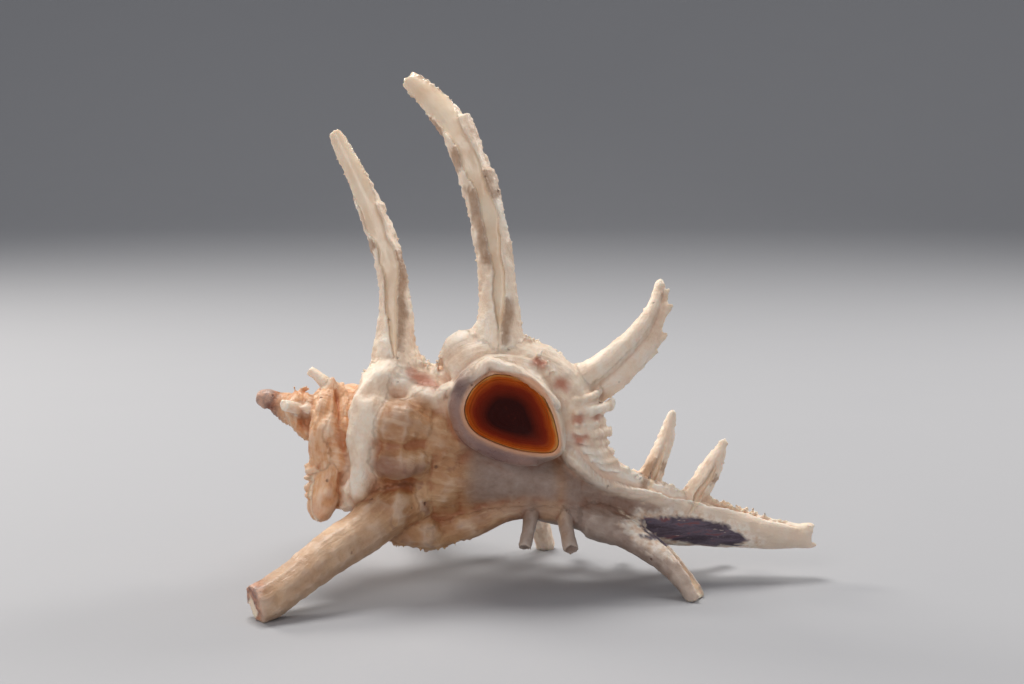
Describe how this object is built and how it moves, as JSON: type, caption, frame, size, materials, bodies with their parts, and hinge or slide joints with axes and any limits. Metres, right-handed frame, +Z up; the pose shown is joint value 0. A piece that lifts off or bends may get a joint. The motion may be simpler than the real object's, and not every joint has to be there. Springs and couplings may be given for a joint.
{
  "type": "murex shell",
  "caption": "Spiny murex sea shell with long curved shoulder spines, a drawn-out siphonal canal and a horny operculum closing its aperture, standing on its own spines.",
  "frame": {"origin": "on the ground, under the centre of the shell's bounding box as it stands on its spines", "axes": "+X from the spire towards the tip of the siphonal canal, -Y the way the aperture faces, +Z up"},
  "size_m": [0.0942, 0.064, 0.0848],
  "materials": {
    "shell_aragonite": "semi-gloss cream and tan shell, slightly translucent",
    "operculum_horn": "glossy red-brown horn, amber at the edge"
  },
  "bodies": {
    "root": {"shell": "shell_aragonite", "operculum": "operculum_horn"}
  },
  "joints": []
}
